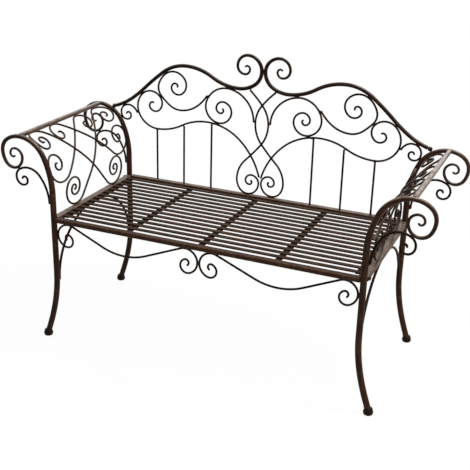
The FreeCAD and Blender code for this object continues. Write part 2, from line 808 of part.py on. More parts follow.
# Arm scrolls: drawn flat, with depth across and the length up the post's curve as height,
# then laid on the curved face between the front and rear posts.

arm_edges = chain([station(leg_x, seat_top, 90)] + upper_post[:2])
arm_length = sum(edge.Length for edge in arm_edges)
slack_edges = chain([
    station(leg_x, seat_top, 90),
    upper_post[0],
    station(apex_x, arm_z, size("arm_slack_slope")),
])
slack_length = sum(edge.Length for edge in slack_edges)
neck_length = size("neck_height") - seat_top
rod_to_arm_rail = reach(size("arm_rail_diameter") / 2, rod_radius, layer)


def beside_post(height):
    """Depth of a thin bar that touches the rear post at a height on the curved face."""
    return leg_y - reach(post_radius(height - neck_length), rod_radius, layer)


def coil_box(heading, radius, steps):
    start = (Vector(), heading)
    return Part.Wire(chain([start] + volute(start, 1, radius, steps))).BoundBox


def least(low, high, holds):
    """Smallest value between two bounds from which a test holds."""
    for halving in range(CONTACT_HALVINGS):
        middle = (low + high) / 2
        if holds(middle):
            high = middle
        else:
            low = middle
    return high


def tied_scroll(top_size, top_corner, foot_size, foot_corner):
    """An S-scroll with its top coil in an upper left corner and its foot in a lower right one."""
    flattest = 0
    steepest = 90
    for halving in range(CONTACT_HALVINGS):
        slope = (flattest + steepest) / 2
        heading = turned(Vector(1, 0, 0), -slope)
        top_box = coil_box(heading * -1, *top_size)
        foot_box = coil_box(heading, *foot_size)
        top = top_corner - Vector(top_box.XMin, 0, top_box.ZMax)
        foot = foot_corner - Vector(foot_box.XMax, 0, foot_box.ZMin)
        if (foot - top).dot(turned(heading, -90)) > 0:
            flattest = slope
        else:
            steepest = slope
    heading = foot - top
    heading.normalize()
    top_start = (top, heading * -1)
    foot_start = (foot, heading)
    return (backwards([top_start] + volute(top_start, 1, *top_size)),
            [foot_start] + volute(foot_start, 1, *foot_size))


def coil_sizes(name):
    return size(f"arm_{name}_radius"), size(f"arm_{name}_steps")


FACINGS = {"rearward": 1, "forward": -1}
crest_height = arm_length - rod_to_arm_rail
lowest_height = fit + rod_radius


def outer_arm_scroll(facing):
    """Touches the arm rail and one post with its top, and the side rail with its foot."""
    top_corner = Vector(-beside_post(crest_height - size("arm_outer_top_radius")), 0, crest_height)
    foot_corner = Vector(leg_y - size(f"arm_{facing}_foot_inset"), 0, lowest_height)
    return tied_scroll(coil_sizes("outer_top"), top_corner, coil_sizes("outer_foot"), foot_corner)


def inner_arm_ends(inset, height):
    """Coils of an inner scroll whose top is an inset from one post, and whose foot is at a height."""
    top_corner = Vector(inset - leg_y, 0, crest_height)
    foot_corner = Vector(beside_post(height + size("arm_inner_foot_radius")), 0, height)
    return tied_scroll(coil_sizes("inner_top"), top_corner, coil_sizes("inner_foot"), foot_corner)


def clears(stations, paths):
    path = Part.Wire(chain(stations))
    return min(path.distToShape(other)[0] for other in paths) > rod_to_rod


def inner_arm_scroll(outer_scrolls):
    """Touches the arm rail and the other post, and lies with both coils on an outer scroll."""
    outer_paths = [Part.Wire(chain(top + foot)) for top, foot in outer_scrolls]
    outer_feet = [Part.Wire(chain(foot)) for top, foot in outer_scrolls]
    inset = leg_y
    for settling in range(SETTLINGS):
        height = least(lowest_height, crest_height,
                       lambda middle: clears(inner_arm_ends(inset, middle)[1], outer_feet))
        inset = least(0, leg_y,
                      lambda middle: clears(inner_arm_ends(middle, height)[0], outer_paths))
    top, foot = inner_arm_ends(inset, height)
    return top + foot


def on_arm(flat, mirror, offset):
    """Point of the curved face for a flat point, raised off the face by an offset.

    The face follows the posts at its ends and hangs straighter in the middle.
    """
    point, heading = along(arm_edges, flat.z)
    slack_point, slack_heading = along(slack_edges, flat.z * slack_length / arm_length)
    slack = 1 - (flat.x / leg_y) ** 2
    lifted = point * (1 - slack) + slack_point * slack
    lifted += turned(heading * (1 - slack) + slack_heading * slack, 90) * offset
    lifted.y = flat.x * mirror
    return lifted


def laid_on_arm(stations, mirror, offset):
    laid = []
    edges = chain(stations)
    for edge in edges:
        bend = 0
        if edge.Curve.TypeId == "Part::GeomCircle":
            bend = math.degrees(edge.Length / edge.Curve.Radius)
        pieces = math.ceil(max(edge.Length / size("arm_step"), bend / size("arm_step_angle")))
        last = 1 if edge is edges[-1] else 0
        for piece in range(pieces + last):
            flat, heading = along([edge], edge.Length * piece / pieces)
            nudge = heading * 0.01
            tangent = on_arm(flat + nudge, mirror, offset) - on_arm(flat - nudge, mirror, offset)
            tangent.normalize()
            laid.append((on_arm(flat, mirror, offset), tangent))
    return laid


inner_scroll = inner_arm_scroll([outer_arm_scroll(facing) for facing in FACINGS])
for side, sign in SIDES:
    for facing, mirror in FACINGS.items():
        outer_top, outer_foot = outer_arm_scroll(facing)
        for name, stations in (("outer", outer_top + outer_foot), ("inner", inner_scroll)):
            laid = sided(laid_on_arm(stations, mirror, mirror * layer), sign)
            nodes.append(bar(f"arm_scroll_{name}_{facing}_{side}", laid, "rod_diameter"))

doc.recompute()
for item in doc.Objects:
    if "Invalid" in item.State or "Error" in item.State:
        raise RuntimeError(f"{item.Label} did not build")
for node in nodes:
    if node.Shape.isNull() or not node.Shape.isValid():
        raise RuntimeError(f"{node.Label} has no valid shape")
    node.Shape.exportStep(f"parts/{node.Label}.step")
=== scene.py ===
import bpy
import bmesh
import math
from mathutils import Matrix, Vector
from mathutils.bvhtree import BVHTree


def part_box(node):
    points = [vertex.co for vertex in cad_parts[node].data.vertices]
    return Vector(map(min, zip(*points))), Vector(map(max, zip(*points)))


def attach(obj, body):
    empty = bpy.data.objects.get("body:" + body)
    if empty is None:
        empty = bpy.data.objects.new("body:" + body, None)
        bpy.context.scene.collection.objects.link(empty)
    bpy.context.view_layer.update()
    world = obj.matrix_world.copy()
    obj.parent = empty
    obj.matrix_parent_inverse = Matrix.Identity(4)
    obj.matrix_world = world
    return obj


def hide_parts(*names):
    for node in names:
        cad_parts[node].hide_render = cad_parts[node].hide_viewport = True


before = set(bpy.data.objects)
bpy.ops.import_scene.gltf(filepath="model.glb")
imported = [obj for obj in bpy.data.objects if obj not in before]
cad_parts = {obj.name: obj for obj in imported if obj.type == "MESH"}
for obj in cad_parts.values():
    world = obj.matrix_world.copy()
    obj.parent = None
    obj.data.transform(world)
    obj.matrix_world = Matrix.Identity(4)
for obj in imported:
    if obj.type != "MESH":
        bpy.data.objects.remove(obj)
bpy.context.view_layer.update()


# Posts: four lengths of round steel tube, each bent in one plane from the floor to the curled
# end that hangs outside the arm, and drawn down towards the tip of the curl. They are dipped in
# dark brown enamel that has been rubbed thin here and there and dulled by weather on top, and
# their tops are painted paler, partly as dust and partly as painted top light.

def add(tree, kind, **settings):
    made = tree.nodes.new(kind)
    for name, value in settings.items():
        setattr(made, name, value)
    return made


def link(tree, *pairs):
    for output, socket in pairs:
        tree.links.new(output, socket)


def noise(tree, place, scale, detail, roughness=0.55):
    cloud = add(tree, "ShaderNodeTexNoise")
    cloud.inputs["Scale"].default_value = scale
    cloud.inputs["Detail"].default_value = detail
    cloud.inputs["Roughness"].default_value = roughness
    link(tree, (place, cloud.inputs["Vector"]))
    return cloud.outputs["Fac"]


def spread(tree, value, low, high, to_low=0.0, to_high=1.0):
    """A value drawn smoothly from one range to another, and held there."""
    ranged = add(tree, "ShaderNodeMapRange", interpolation_type="SMOOTHSTEP")
    link(tree, (value, ranged.inputs["Value"]))
    ranged.inputs["From Min"].default_value = low
    ranged.inputs["From Max"].default_value = high
    ranged.inputs["To Min"].default_value = to_low
    ranged.inputs["To Max"].default_value = to_high
    return ranged.outputs["Result"]


def arithmetic(tree, operation, first, *others):
    """Folds sockets and numbers together by one operation."""
    total = first
    for other in others:
        made = add(tree, "ShaderNodeMath", operation=operation)
        for value, socket in zip((total, other), made.inputs):
            if isinstance(value, (int, float)):
                socket.default_value = value
            else:
                link(tree, (value, socket))
        total = made.outputs["Value"]
    return total


def blended(tree, share, first, second):
    """A colour between two others, each a socket or a plain tone."""
    mixed = add(tree, "ShaderNodeMix", data_type="RGBA")
    link(tree, (share, mixed.inputs[0]))
    ends = [socket for socket in mixed.inputs if socket.type == "RGBA"]
    for tone, socket in zip((first, second), ends):
        if isinstance(tone, tuple):
            socket.default_value = (*tone, 1)
        else:
            link(tree, (tone, socket))
    return next(socket for socket in mixed.outputs if socket.type == "RGBA")


def node_group(name, kind, inputs, outputs):
    """A group with typed sockets: the group, what it is given and what it puts out."""
    group = bpy.data.node_groups.new(name, kind)
    for in_out, sockets in (("INPUT", inputs), ("OUTPUT", outputs)):
        for socket, holds in sockets.items():
            group.interface.new_socket(socket, in_out=in_out, socket_type="NodeSocket" + holds)
    return group, add(group, "NodeGroupInput").outputs, add(group, "NodeGroupOutput").inputs


enamel_film, given, shown = node_group(
    "weathered_enamel", "ShaderNodeTree",
    {"Place": "Vector", "Up": "Float", "Edge": "Float", "Film": "Color", "Thin Film": "Color",
     "Rubbed": "Color", "Dust": "Color", "Rub": "Float", "Dusting": "Float", "Polish": "Float"},
    {"Colour": "Color", "Roughness": "Float", "Sheen": "Float", "Height": "Float"})


def mottle(scale, detail, low, high, to_low=0.0, to_high=1.0, roughness=0.55):
    """Blotches of one size over the enamel, as a mask."""
    cloud = noise(enamel_film, given["Place"], scale, detail, roughness)
    return spread(enamel_film, cloud, low, high, to_low, to_high)


clouding = mottle(scale=16, detail=5, low=0.38, high=0.68)
speckle = mottle(scale=720, detail=2, low=0.45, high=0.75, to_high=0.35)
patches = mottle(scale=95, detail=6, low=0.53, high=0.72, roughness=0.65)
scuffs = mottle(scale=240, detail=4, low=0.40, high=0.62, roughness=0.6)
dust_and_top_light_patches = mottle(scale=34, detail=6, low=0.30, high=0.66, to_low=0.25, roughness=0.6)
handled = mottle(scale=26, detail=5, low=0.30, high=0.66, to_low=0.45, roughness=0.6)
clean_roughness = mottle(scale=48, detail=4, low=0.3, high=0.7, to_low=0.30, to_high=0.46)
# Upward faces: where the tops are painted paler, partly as dust and partly as painted top light, and where
# the coat lies.
facing_up = spread(enamel_film, given["Up"], low=0.35, high=0.95)
thin = arithmetic(enamel_film, "MAXIMUM", clouding, speckle)
worn = arithmetic(enamel_film, "MAXIMUM",
                  arithmetic(enamel_film, "MULTIPLY", patches, given["Rub"]),
                  arithmetic(enamel_film, "MULTIPLY", scuffs, given["Edge"]))
# Paler tops: partly dust that settles there and partly painted top light and sheen.
dust_and_top_light = arithmetic(enamel_film, "MULTIPLY", facing_up, dust_and_top_light_patches, given["Dusting"])
film_tone = blended(enamel_film, thin, given["Film"], given["Thin Film"])
worn_tone = blended(enamel_film, worn, film_tone, given["Rubbed"])
DULLING = 0.22
dulled = arithmetic(enamel_film, "MULTIPLY", arithmetic(enamel_film, "ADD", worn, dust_and_top_light), DULLING)
FORGING_SHARE, ORANGE_PEEL_SHARE, LOST_FILM_SHARE = 0.75, 0.25, -0.3
forging = noise(enamel_film, given["Place"], scale=75, detail=2)
orange_peel = noise(enamel_film, given["Place"], scale=560, detail=2)
unevenness = arithmetic(enamel_film, "ADD",
                        arithmetic(enamel_film, "MULTIPLY", forging, FORGING_SHARE),
                        arithmetic(enamel_film, "MULTIPLY", orange_peel, ORANGE_PEEL_SHARE),
                        arithmetic(enamel_film, "MULTIPLY", worn, LOST_FILM_SHARE))
link(enamel_film,
     (blended(enamel_film, dust_and_top_light, worn_tone, given["Dust"]), shown["Colour"]),
     (arithmetic(enamel_film, "ADD", clean_roughness, dulled), shown["Roughness"]),
     (arithmetic(enamel_film, "MULTIPLY", facing_up, handled, given["Polish"]), shown["Sheen"]),
     (unevenness, shown["Height"]))


def enamelled(name, film, thin_film, rubbed, dust_and_top_light_tone, rub, dust_and_top_light_share, polish, relief, gloss=0.10):
    """Enamel on steel: its own tones over the shared weathering and painted top light."""
    material = bpy.data.materials.new(name)
    material.use_nodes = True
    tree = material.node_tree
    shader = tree.nodes["Principled BSDF"]
    weathering = add(tree, "ShaderNodeGroup", node_tree=enamel_film)
    for socket, tone in (("Film", film), ("Thin Film", thin_film), ("Rubbed", rubbed), ("Dust", dust_and_top_light_tone)):
        weathering.inputs[socket].default_value = (*tone, 1)
    for socket, amount in (("Rub", rub), ("Dusting", dust_and_top_light_share), ("Polish", polish)):
        weathering.inputs[socket].default_value = amount
    normal = add(tree, "ShaderNodeSeparateXYZ")
    edge = add(tree, "ShaderNodeAttribute", attribute_name="edge")
    bump = add(tree, "ShaderNodeBump")
    bump.inputs["Strength"].default_value = relief
    bump.inputs["Distance"].default_value = 0.0006
    link(tree,
         (add(tree, "ShaderNodeNewGeometry").outputs["Normal"], normal.inputs["Vector"]),
         (add(tree, "ShaderNodeTexCoord").outputs["Object"], weathering.inputs["Place"]),
         (normal.outputs["Z"], weathering.inputs["Up"]),
         (edge.outputs["Fac"], weathering.inputs["Edge"]),
         (weathering.outputs["Colour"], shader.inputs["Base Color"]),
         (weathering.outputs["Roughness"], shader.inputs["Roughness"]),
         (weathering.outputs["Sheen"], shader.inputs["Coat Weight"]),
         (weathering.outputs["Height"], bump.inputs["Height"]),
         (bump.outputs["Normal"], shader.inputs["Normal"]))
    shader.inputs["Specular IOR Level"].default_value = gloss
    shader.inputs["Coat Roughness"].default_value = 0.15
    return material


def placed(mesh, slot_name, *nodes):
    """Adds a finished mesh to the scene as a piece that stands for its nodes."""
    piece = bpy.data.objects.new(mesh.name, mesh)
    bpy.context.scene.collection.objects.link(piece)
    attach(piece, "root")
    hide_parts(*nodes)


SAME_POINT = 0.000002
CUT_ANGLE = math.radians(60)
CUT_ROUNDING = 0.0018
SHARP_ANGLE = math.radians(40)


def dressed(node, suffix, material, slot_name):
    """A bar as it is bent, with its skin merged, its cut ends rounded off and all shaded round."""
    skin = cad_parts[node].data.copy()
    skin.name = f"{node}_{suffix}"
    work = bmesh.new()
    work.from_mesh(skin)
    bmesh.ops.remove_doubles(work, verts=work.verts, dist=SAME_POINT)
    cut_rims = [rim for rim in work.edges if rim.calc_face_angle(0) > CUT_ANGLE]
    bmesh.ops.bevel(work, geom=cut_rims, offset=CUT_ROUNDING, segments=3, profile=0.5, affect="EDGES")
    for face in work.faces:
        face.smooth = True
    for rim in work.edges:
        rim.smooth = rim.calc_face_angle(0) < SHARP_ANGLE
    work.to_mesh(skin)
    work.free()
    skin.materials.clear()
    skin.materials.append(material)
    placed(skin, slot_name, node)


post_enamel = enamelled(
    "post_enamel", film=(0.0238, 0.0096, 0.0044), thin_film=(0.042, 0.0190, 0.0098),
    rubbed=(0.115, 0.068, 0.043), dust_and_top_light_tone=(0.250, 0.190, 0.150),
    rub=0.40, dust_and_top_light_share=0.75, polish=1.0, relief=0.35, gloss=0.05)
SIDES = ("left", "right")
CORNERS = [f"{end}_{side}" for end in ("front", "rear") for side in SIDES]
for corner in CORNERS:
    dressed(f"post_{corner}", "tube", post_enamel, "frame_enamel")


# Feet: bulbous moulded caps pushed on the ends of the posts, with a flat tread below and a rolled
# collar above. They are dark brown plastic, scuffed paler round the tread.

def turned(name, rings, around=40):
    """A closed turned form from (radius, height) rings; a radius may be a function of the turn."""
    mesh = bpy.data.meshes.new(name)
    work = bmesh.new()
    loops = []
    for radius, height in rings:
        loop = []
        for step in range(around):
            turn = 2 * math.pi * step / around
            out = radius(turn) if callable(radius) else radius
            loop.append(work.verts.new((out * math.cos(turn), out * math.sin(turn), height)))
        loops.append(loop)
    for lower, upper in zip(loops, loops[1:]):
        for step in range(around):
            after = (step + 1) % around
            work.faces.new((lower[step], lower[after], upper[after], upper[step]))
    work.faces.new(list(reversed(loops[0])))
    work.faces.new(loops[-1])
    for face in work.faces:
        face.smooth = len(face.verts) == 4
    work.to_mesh(mesh)
    work.free()
    return mesh


foot_plastic = bpy.data.materials.new("foot_plastic")
foot_plastic.use_nodes = True
foot_tree = foot_plastic.node_tree
foot_shader = foot_tree.nodes["Principled BSDF"]
foot_shader.inputs["Specular IOR Level"].default_value = 0.06
foot_place = add(foot_tree, "ShaderNodeTexCoord").outputs["Object"]
foot_parts = add(foot_tree, "ShaderNodeSeparateXYZ")
link(foot_tree, (foot_place, foot_parts.inputs["Vector"]))
tread = spread(foot_tree, foot_parts.outputs["Z"], low=0.001, high=0.006, to_low=1.0, to_high=0.0)
tread_marks = spread(foot_tree, noise(foot_tree, foot_place, scale=260, detail=5), low=0.4, high=0.65)
scuffed = arithmetic(foot_tree, "MULTIPLY", tread, tread_marks)
foot_tone = blended(foot_tree, scuffed, (0.012, 0.0052, 0.0026), (0.040, 0.028, 0.020))
foot_roughness = spread(foot_tree, noise(foot_tree, foot_place, scale=90, detail=4),
                        low=0.3, high=0.7, to_low=0.30, to_high=0.48)
foot_bump = add(foot_tree, "ShaderNodeBump")
foot_bump.inputs["Strength"].default_value = 0.25
foot_bump.inputs["Distance"].default_value = 0.0003
link(foot_tree,
     (foot_tone, foot_shader.inputs["Base Color"]),
     (foot_roughness, foot_shader.inputs["Roughness"]),
     (noise(foot_tree, foot_place, scale=900, detail=2), foot_bump.inputs["Height"]),
     (foot_bump.outputs["Normal"], foot_shader.inputs["Normal"]))

FOOT_RINGS = ((0.0096, 0.0), (0.0118, 0.0004), (0.0134, 0.0018), (0.0145, 0.0042), (0.0150, 0.0075),
              (0.0147, 0.0108), (0.0137, 0.0140), (0.0127, 0.0160), (0.0124, 0.0172), (0.0125, 0.0184),
              (0.0123, 0.0194), (0.0116, 0.0199), (0.0100, 0.0199))
for corner in CORNERS:
    low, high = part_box(f"foot_{corner}")
    cap = turned(f"foot_{corner}_cap", FOOT_RINGS)
    cap.transform(Matrix.Translation(((low.x + high.x) / 2, (low.y + high.y) / 2, low.z)))
    cap.materials.append(foot_plastic)
    placed(cap, "foot_cap", f"foot_{corner}")


# Arm rails, arches and brackets: a round tube along each arm, an arch of thin bar between the legs
# at each end, and curled thin bars that prop the hanging scrolls. All are welded to the posts.
# The tops of the arm rails are worn smooth by hands and forearms, and painted paler there,
# partly as dust and partly as painted top light and sheen.

arm_enamel = enamelled(
    "arm_enamel", film=(0.034, 0.0130, 0.0062), thin_film=(0.052, 0.0255, 0.0145),
    rubbed=(0.170, 0.115, 0.080), dust_and_top_light_tone=(0.330, 0.265, 0.220),
    rub=0.50, dust_and_top_light_share=0.70, polish=1.0, relief=0.30, gloss=0.40)
rod_enamel = enamelled(
    "rod_enamel", film=(0.0080, 0.0025, 0.0009), thin_film=(0.022, 0.0092, 0.0042),
    rubbed=(0.090, 0.052, 0.030), dust_and_top_light_tone=(0.120, 0.080, 0.056),
    rub=0.30, dust_and_top_light_share=0.20, polish=0.06, relief=0.30, gloss=0.02)
for side in SIDES:
    dressed(f"arm_rail_{side}", "tube", arm_enamel, "frame_enamel")
    dressed(f"arch_brace_{side}", "bar", rod_enamel, "frame_enamel")
for corner in CORNERS:
    dressed(f"bracket_{corner}", "bar", rod_enamel, "frame_enamel")


# Seat frame: front, rear and side rails of rectangular steel tube welded between the posts, and a
# flat end plate bolted inside each side rail that carries the slats. The enamel is rubbed along
# their rolled corners.

bar_tree, bar_given, bar_result = node_group(
    "rolled_bars", "GeometryNodeTree",
    {"Length": "Float", "Width": "Float", "Height": "Float", "Corner": "Float", "Count": "Int",
     "Pitch": "Float", "Enamel": "Material"},
    {"Bars": "Geometry"})
spot = add(bar_tree, "ShaderNodeSeparateXYZ")
link(bar_tree, (add(bar_tree, "GeometryNodeInputPosition").outputs["Position"], spot.inputs["Vector"]))


def towards_corner(coordinate, full):
    """0 where the flat ends and 1 at the outer face, along one side of the section."""
    half = arithmetic(bar_tree, "MULTIPLY", full, 0.5)
    flat = arithmetic(bar_tree, "SUBTRACT", half, bar_given["Corner"])
    away = arithmetic(bar_tree, "ABSOLUTE", coordinate, 0.0)
    past_flat = arithmetic(bar_tree, "SUBTRACT", away, flat)
    share = arithmetic(bar_tree, "DIVIDE", past_flat, bar_given["Corner"])
    return arithmetic(bar_tree, "MAXIMUM", share, 0.0)


def along_axis(axis, length):
    """A vector of the given length along one axis."""
    vector = add(bar_tree, "ShaderNodeCombineXYZ")
    link(bar_tree, (length, vector.inputs[axis]))
    return vector.outputs["Vector"]


def realized(tree, instances):
    real = add(tree, "GeometryNodeRealizeInstances")
    link(tree, (instances, real.inputs["Geometry"]))
    return real.outputs["Geometry"]


def coated(tree, geometry, enamel):
    coat = add(tree, "GeometryNodeSetMaterial")
    link(tree, (geometry, coat.inputs["Geometry"]), (enamel, coat.inputs["Material"]))
    return coat.outputs["Geometry"]


CORNER_WEAR = 2.0
section = add(bar_tree, "GeometryNodeCurvePrimitiveQuadrilateral")
rolled = add(bar_tree, "GeometryNodeFilletCurve", mode="POLY")
rolled.inputs["Count"].default_value = 5
marked = add(bar_tree, "GeometryNodeStoreNamedAttribute", data_type="FLOAT", domain="POINT")
marked.inputs["Name"].default_value = "edge"
corner_mask = arithmetic(bar_tree, "MULTIPLY", towards_corner(spot.outputs["X"], bar_given["Width"]),
                         towards_corner(spot.outputs["Y"], bar_given["Height"]), CORNER_WEAR)
half_length = arithmetic(bar_tree, "MULTIPLY", bar_given["Length"], 0.5)
line = add(bar_tree, "GeometryNodeCurvePrimitiveLine")
drawn = add(bar_tree, "GeometryNodeCurveToMesh")
drawn.inputs["Fill Caps"].default_value = True
spaces = arithmetic(bar_tree, "SUBTRACT", bar_given["Count"], 1)
first_row = arithmetic(bar_tree, "MULTIPLY", spaces, bar_given["Pitch"], -0.5)
rows = add(bar_tree, "GeometryNodeMeshLine")
laid = add(bar_tree, "GeometryNodeInstanceOnPoints")
link(bar_tree,
     (bar_given["Width"], section.inputs["Width"]),
     (bar_given["Height"], section.inputs["Height"]),
     (section.outputs["Curve"], rolled.inputs["Curve"]),
     (bar_given["Corner"], rolled.inputs["Radius"]),
     (rolled.outputs["Curve"], marked.inputs["Geometry"]),
     (corner_mask, marked.inputs["Value"]),
     (along_axis("X", arithmetic(bar_tree, "MULTIPLY", half_length, -1.0)), line.inputs["Start"]),
     (along_axis("X", half_length), line.inputs["End"]),
     (line.outputs["Curve"], drawn.inputs["Curve"]),
     (marked.outputs["Geometry"], drawn.inputs["Profile Curve"]),
     (bar_given["Count"], rows.inputs["Count"]),
     (along_axis("Y", first_row), rows.inputs["Start Location"]),
     (along_axis("Y", bar_given["Pitch"]), rows.inputs["Offset"]),
     (rows.outputs["Mesh"], laid.inputs["Points"]),
     (drawn.outputs["Mesh"], laid.inputs["Instance"]),
     (coated(bar_tree, realized(bar_tree, laid.outputs["Instances"]), bar_given["Enamel"]),
      bar_result["Bars"]))


def made_by(tree, name, carrier, settings, material):
    """Runs a node tree on a carrier mesh and keeps what it makes as a plain mesh."""
    maker = bpy.data.objects.new(name + "_maker", carrier)
    bpy.context.scene.collection.objects.link(maker)
    modifier = maker.modifiers.new("made", "NODES")
    modifier.node_group = tree
    sockets = {item.name: item.identifier for item in tree.interface.items_tree if item.in_out == "INPUT"}
    for socket, value in settings.items():
        modifier[sockets[socket]] = value
    even = maker.modifiers.new("even", "WEIGHTED_NORMAL")
    even.keep_sharp = True
    depsgraph = bpy.context.evaluated_depsgraph_get()
    mesh = bpy.data.meshes.new_from_object(maker.evaluated_get(depsgraph), preserve_all_data_layers=True,
                                           depsgraph=depsgraph)
    bpy.data.objects.remove(maker)
    mesh.name = name
    mesh.materials.clear()
    mesh.materials.append(material)
    return mesh


def rolled_bar(name, length, width, height, corner, material, count=1, pitch=0.0):
    settings = {"Length": length, "Width": width, "Height": height, "Corner": corner, "Count": count,
                "Pitch": pitch, "Enamel": material}
    return made_by(bar_tree, name, bpy.data.meshes.new(name + "_carrier"), settings, material)


# The rails' tops are painted paler, partly as dust and partly as painted top light; the front rail has
# little of it.
rail_enamel = enamelled(
    "rail_enamel", film=(0.036, 0.0140, 0.0070), thin_film=(0.050, 0.0240, 0.0135),
    rubbed=(0.120, 0.075, 0.048), dust_and_top_light_tone=(0.190, 0.134, 0.098),
    rub=0.50, dust_and_top_light_share=0.80, polish=0.60, relief=0.25, gloss=0.05)
front_enamel = enamelled(
    "front_enamel", film=(0.032, 0.0115, 0.0052), thin_film=(0.046, 0.0205, 0.0110),
    rubbed=(0.140, 0.090, 0.060), dust_and_top_light_tone=(0.120, 0.095, 0.078),
    rub=0.40, dust_and_top_light_share=0.10, polish=0.0, relief=0.25, gloss=0.06)
ALONG_Y = Matrix.Rotation(math.pi / 2, 4, "Z")
RAIL_ROLL = 0.0022
PLATE_ROLL = 0.0007
for node, roll, enamel in (
        ("front_rail", RAIL_ROLL, front_enamel), ("rear_rail", RAIL_ROLL, rail_enamel),
        ("side_rail_left", RAIL_ROLL, rail_enamel), ("side_rail_right", RAIL_ROLL, rail_enamel),
        ("seat_end_left", PLATE_ROLL, rail_enamel), ("seat_end_right", PLATE_ROLL, rail_enamel)):
    low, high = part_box(node)
    span = high - low
    if span.x > span.y:
        mesh = rolled_bar(node + "_rolled", span.x, span.y, span.z, roll, enamel)
    else:
        mesh = rolled_bar(node + "_rolled", span.y, span.x, span.z, roll, enamel)
        mesh.transform(ALONG_Y)
    mesh.transform(Matrix.Translation((low + high) / 2))
    placed(mesh, "frame_enamel", node)


# Slats and straps: flat steel slats run from end plate to end plate over five cross straps, and are
# welded where they cross. Their edges are rolled round, and the enamel on top is rubbed by sitting
# and painted paler, partly as dust and partly as painted top light; their dark sides and the
# near-black straps below are painted shade.

# The slat film is very dark as painted shade on the slats' sides, and their tops are painted paler, partly
# as dust and partly as painted top light.
slat_enamel = enamelled(
    "slat_enamel", film=(0.0065, 0.0021, 0.0008), thin_film=(0.0125, 0.0050, 0.0022),
    rubbed=(0.092, 0.055, 0.034), dust_and_top_light_tone=(0.112, 0.068, 0.046),
    rub=0.35, dust_and_top_light_share=0.52, polish=0.0, relief=0.22, gloss=0.02)
# The straps are painted near-black as painted shade under the slats.
strap_enamel = enamelled(
    "strap_enamel", film=(0.0050, 0.0017, 0.0007), thin_film=(0.0095, 0.0038, 0.0017),
    rubbed=(0.060, 0.036, 0.022), dust_and_top_light_tone=(0.080, 0.050, 0.034),
    rub=0.25, dust_and_top_light_share=0.10, polish=0.0, relief=0.22, gloss=0.02)
FLAT_BAR_ROLL = 0.0009
SLATS = 14
SLAT_WIDTH = 0.015
slat_low, slat_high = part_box("seat_slats")
slat_pitch = (slat_high.y - slat_low.y - SLAT_WIDTH) / (SLATS - 1)
slats = rolled_bar("seat_slats_rolled", slat_high.x - slat_low.x, SLAT_WIDTH, slat_high.z - slat_low.z,
                   FLAT_BAR_ROLL, slat_enamel, SLATS, slat_pitch)
slats.transform(Matrix.Translation((slat_low + slat_high) / 2))
placed(slats, "slat_enamel", "seat_slats")


def solid_boxes(node):
    """Low and high corners of the separate solids in a node."""
    work = bmesh.new()
    work.from_mesh(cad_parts[node].data)
    bmesh.ops.remove_doubles(work, verts=work.verts, dist=SAME_POINT)
    boxes = []
    waiting = set(work.verts)
    while waiting:
        reached = [waiting.pop()]
        for vert in reached:
            for rim in vert.link_edges:
                other = rim.other_vert(vert)
                if other in waiting:
                    waiting.remove(other)
                    reached.append(other)
        columns = list(zip(*(vert.co for vert in reached)))
        boxes.append((Vector(min(column) for column in columns), Vector(max(column) for column in columns)))
    work.free()
    return sorted(boxes, key=lambda box: box[0].x)


strap_boxes = solid_boxes("seat_straps")
for number, (low, high) in enumerate(strap_boxes):
    strap = rolled_bar(f"seat_strap_{number}_rolled", high.y - low.y, high.x - low.x, high.z - low.z,
                       FLAT_BAR_ROLL, strap_enamel)
    strap.transform(ALONG_Y)
    strap.transform(Matrix.Translation((low + high) / 2))
    placed(strap, "slat_enamel", "seat_straps")


# Bolts and nuts: button-headed steel bolts on washers hold the side rails to the end plates, with
# hexagon nuts inside. Smaller bolts come up through the rear posts into the knobs of the top rail.

def hexagon(across):
    """The radius, turn by turn, of a hexagon measured across its flats."""
    def out(turn):
        return across / 2 / math.cos((turn + math.pi / 6) % (math.pi / 3) - math.pi / 6)
    return out


bolt_enamel = enamelled(
    "bolt_enamel", film=(0.020, 0.0085, 0.0045), thin_film=(0.034, 0.0180, 0.0110),
    rubbed=(0.160, 0.120, 0.090), dust_and_top_light_tone=(0.120, 0.095, 0.078),
    rub=0.75, dust_and_top_light_share=0.25, polish=0.30, relief=0.15)
HEAD_RINGS = ((0.0062, 0.0), (0.0082, 0.0), (0.0083, 0.0006), (0.0081, 0.0010), (0.0072, 0.0011),
              (0.0071, 0.0019), (0.0067, 0.0030), (0.0058, 0.0041), (0.0045, 0.0048), (0.0036, 0.0050),
              (0.0030, 0.0050), (hexagon(0.0042), 0.0049), (hexagon(0.0040), 0.0046),
              (hexagon(0.0040), 0.0028), (0.0005, 0.0024))
NUT_ACROSS = 0.0100
NUT_RINGS = ((0.0044, 0.0), (hexagon(0.0096), 0.0002), (hexagon(NUT_ACROSS), 0.0008),
             (hexagon(NUT_ACROSS), 0.0042), (hexagon(0.0096), 0.0048), (0.0043, 0.0050),
             (0.0033, 0.0047), (0.0030, 0.0045))
STUB_RINGS = ((0.0029, 0.0), (0.0029, 0.0064), (0.0026, 0.0069), (0.0010, 0.0070))
bolt_tree, bolt_given, bolt_result = node_group(
    "set_bolts", "GeometryNodeTree",
    {"Places": "Geometry", "Shape": "Object", "Enamel": "Material"}, {"Bolts": "Geometry"})


def carried(tree, name):
    """A vector that each place carries."""
    attribute = add(tree, "GeometryNodeInputNamedAttribute", data_type="FLOAT_VECTOR")
    attribute.inputs["Name"].default_value = name
    return next(socket for socket in attribute.outputs if socket.enabled and socket.name == "Attribute")


